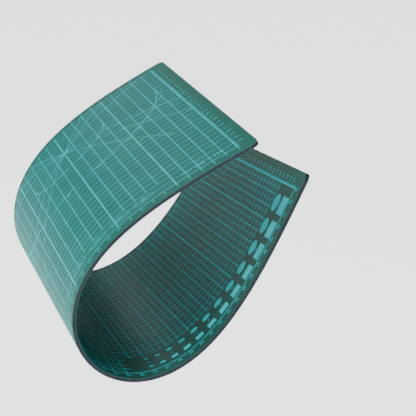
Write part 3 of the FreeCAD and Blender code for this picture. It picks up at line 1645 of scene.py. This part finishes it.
@dataclass
class BackPrint(Print):
    """The inner face's print: a dotted grid and a row of circle and square templates."""

    reads: tuple[int, int] = (1, -1)
    template_count: int = 12
    largest: float = 14.0
    template_gap: float = 5.5
    template_step: float = 1.0
    circle_sides: int = 48
    square_inset: float = 8.8
    circle_inset: float = 27.0
    panel_start_square: int = 25
    panel_depth: float = 35.0
    last_inset: float = 15.4
    dot_step: float = 2.5
    dot_length: float = 1.6
    size_height: float = 2.4

    def draw(self) -> Outline:
        """Print everything on the back.

        Returns:
            The back's whole outline.
        """
        weights, half = self.weights, self.half_y
        every = self.bold_every
        edge = half - self.panel_depth
        for numbers, finish in ((range(self.panel_start_square), half),
                                (range(self.panel_start_square, self.squares_long), edge)):
            self.cross_lines([n for n in numbers if n % every == 0], weights.medium,
                             -half, finish)
            self.cross_lines([n for n in numbers if n % every], weights.plain, -half, finish)
        self.cross_lines([self.squares_long], weights.bold, -half - self.overshoot,
                         half + self.overshoot)
        panel_x = self.first_x + self.panel_start_square * self.pitch
        for number in range(1, self.squares_wide):
            width = weights.long if (self.squares_wide - number) % every else weights.bold
            in_panel = number * self.pitch - half > edge
            self.long_lines([number], width, self.first_x,
                            panel_x - 0.5 * self.pitch if in_panel else self.last_x)
        self.dots(edge, panel_x)
        self.margin()
        self.templates()
        return self.outline()

    def dots(self, edge: float, panel_x: float) -> None:
        """Print dotted lines halfway between the grid's lines, both ways.

        Args:
            edge: where the panel without a grid begins, across the mat.
            panel_x: where it begins along the mat.
        """
        step, dot, width = self.dot_step, self.dot_length, self.weights.dash
        panel_rows = int((edge + self.half_y) / step)
        open_rows = int(2 * self.half_y / step)
        before = self.panel_start_square
        self.bars(self.first_x + self.pitch / 2, step / 2 - self.half_y, width, dot,
                  before - 1, self.pitch, open_rows, step)
        self.bars(self.first_x + (before - 0.5) * self.pitch, step / 2 - self.half_y, width, dot,
                  self.squares_long - before + 1, self.pitch, panel_rows, step)
        rows = int((edge + self.half_y) / self.pitch)
        self.bars(self.first_x + step / 2, self.pitch / 2 - self.half_y, dot, width,
                  int((self.last_x - self.first_x) / step), step, rows + 1, self.pitch)
        self.bars(self.first_x + step / 2, (rows + 1.5) * self.pitch - self.half_y, dot, width,
                  int((panel_x - self.pitch - self.first_x) / step), step,
                  self.squares_wide - rows - 1, self.pitch)

    def templates(self) -> None:
        """Print a row of discs and a row of squares, with their size between them."""
        recipe = TemplateRecipe()
        x = self.last_x - self.last_inset
        shapes = ((self.circle_sides, 0.5, 0.0, self.circle_inset),
                  (4, math.sqrt(0.5), math.pi / 4, self.square_inset))
        for sides, reach, turn, inset in shapes:
            self.add(cut_fine(self.stamp(recipe, x, self.half_y - inset, {
                "Count": self.template_count, "Largest": self.largest * MM,
                "Gap": self.template_gap * MM, "Step": self.template_step * MM,
                "Sides": sides, "Turn": turn, "Reach": reach}), self.bend_step))
        middle = self.half_y - (self.square_inset + self.circle_inset) / 2
        size = self.largest
        for _ in range(self.template_count):
            self.number(f"{size:.0f}", x, middle, self.size_height)
            x -= size + self.template_gap - self.template_step / 2
            size -= self.template_step


# --------------------------------------------------------------------------- the studio


@dataclass(frozen=True)
class Lamp:
    """One soft area light, aimed at the mat."""

    name: str
    azimuth: float
    elevation: float
    distance: float
    size: float
    power: float
    colour: Colour = (1.0, 1.0, 1.0)


@dataclass(frozen=True)
class Studio:
    """The floor, the lights and the camera.  Lengths are in metres and angles in degrees."""

    lamps: tuple[Lamp, ...] = (
        Lamp("key_light", -60.0, 48.0, 1.7, 1.1, 26.0),
        Lamp("left_light", -100.0, 5.0, 1.5, 1.2, 2.5),
        Lamp("front_light", -24.0, 8.0, 1.9, 0.9, 19.0, (0.93, 0.99, 1.0)),
        Lamp("back_light", -174.0, 19.0, 1.6, 0.5, 3.0, (0.8, 0.95, 1.0)),
    )
    camera_azimuth: float = -14.16
    camera_elevation: float = 15.47
    camera_distance: float = 1.3908
    camera_lens: float = 153.84
    camera_sensor: float = 36.0
    aim_offset: Triple = (0.0431, -0.0097, 0.0042)
    floor_size: float = 80.0
    floor_drop: float = 0.26
    sky: Colour = (0.86, 0.97, 1.0)
    sky_strength: float = 0.32

    def _aim(self, held: bpy.types.Object, target: Vector, azimuth: float, elevation: float,
             distance: float) -> None:
        """Put a lamp or camera round a target and face it there; azimuth 0 is in front.

        Args:
            held: the lamp or camera.
            target: the point it faces.
            azimuth: how far round it stands, in degrees.
            elevation: how high it stands, in degrees.
            distance: how far away it stands, in metres.
        """
        a, e = math.radians(azimuth), math.radians(elevation)
        away = Vector((math.sin(a) * math.cos(e), -math.cos(a) * math.cos(e), math.sin(e)))
        held.location = target + away * distance
        held.rotation_euler = (-away).to_track_quat("-Z", "Y").to_euler()

    def set_up(self) -> None:
        """Build the floor, the lights and the camera."""
        centre = (CAD_BOX[0] + CAD_BOX[1]) / 2
        self._floor(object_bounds()[0].z - self.floor_drop)
        for lamp in self.lamps:
            self._lamp(lamp, centre)
        self._world()
        self._camera(centre)
        log.info("studio: %d lamps", len(self.lamps))

    def _floor(self, height: float) -> None:
        """A pale floor, well beyond the view and clear of the mat as it flattens.

        Args:
            height: the floor's height, in metres.
        """
        half = self.floor_size / 2
        sides = ((-half, -half), (half, -half), (half, half), (-half, half))
        floor = show("floor", plain_mesh(((x, y, height) for x, y in sides), [(0, 1, 2, 3)]))
        floor.data.materials.append(FloorFinish().material())
        floor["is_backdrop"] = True

    def _lamp(self, lamp: Lamp, centre: Vector) -> None:
        """One area light, facing the mat's middle.

        Args:
            lamp: the lamp.
            centre: the mat's middle.
        """
        light = bpy.data.lights.new(lamp.name, "AREA")
        light.shape, light.size = "DISK", lamp.size
        light.energy, light.color = lamp.power, lamp.colour
        held = show(lamp.name, light)
        held.visible_camera = False
        self._aim(held, centre, lamp.azimuth, lamp.elevation, lamp.distance)

    def _world(self) -> None:
        """An even pale surround."""
        world = bpy.data.worlds.new("studio_surround")
        world.use_nodes = True
        tree = Tree(world.node_tree)
        light = tree.wire("ShaderNodeBackground", sockets={
            "Color": (*self.sky, 1.0), "Strength": self.sky_strength})
        tree.node("ShaderNodeOutputWorld", sockets={"Surface": light})
        bpy.context.scene.world = world

    def _camera(self, centre: Vector) -> None:
        """A long lens from the front, a little to the left and above.

        Args:
            centre: the mat's middle.
        """
        data = bpy.data.cameras.new("camera")
        data.lens, data.sensor_width = self.camera_lens, self.camera_sensor
        camera = show("camera", data)
        self._aim(camera, centre + Vector(self.aim_offset), self.camera_azimuth,
                  self.camera_elevation, self.camera_distance)
        bpy.context.scene.camera = camera


def main() -> None:
    """Build the mat, layer by layer and print by print, and then the studio."""
    logging.basicConfig(level=logging.INFO, format="%(name)s: %(message)s")
    record = frame["record"]
    curl = Curl.from_record(record)
    sheet = Sheet(curl, record)
    sheet.make_layer(Layer.FRONT_SKIN, FRONT_GREEN.material())
    sheet.make_layer(Layer.CORE, CoreFinish().material())
    sheet.make_layer(Layer.BACK_SKIN, BACK_GREEN_PAINTED_SHADE.material())
    sheet.make_print("front_print", FrontPrint(curl).draw(), 1, FRONT_INK.material())
    sheet.make_print("back_print", BackPrint(curl).draw(), -1, BACK_INK.material())
    sheet.finish()
    Studio().set_up()


if __name__ == "__main__":
    main()
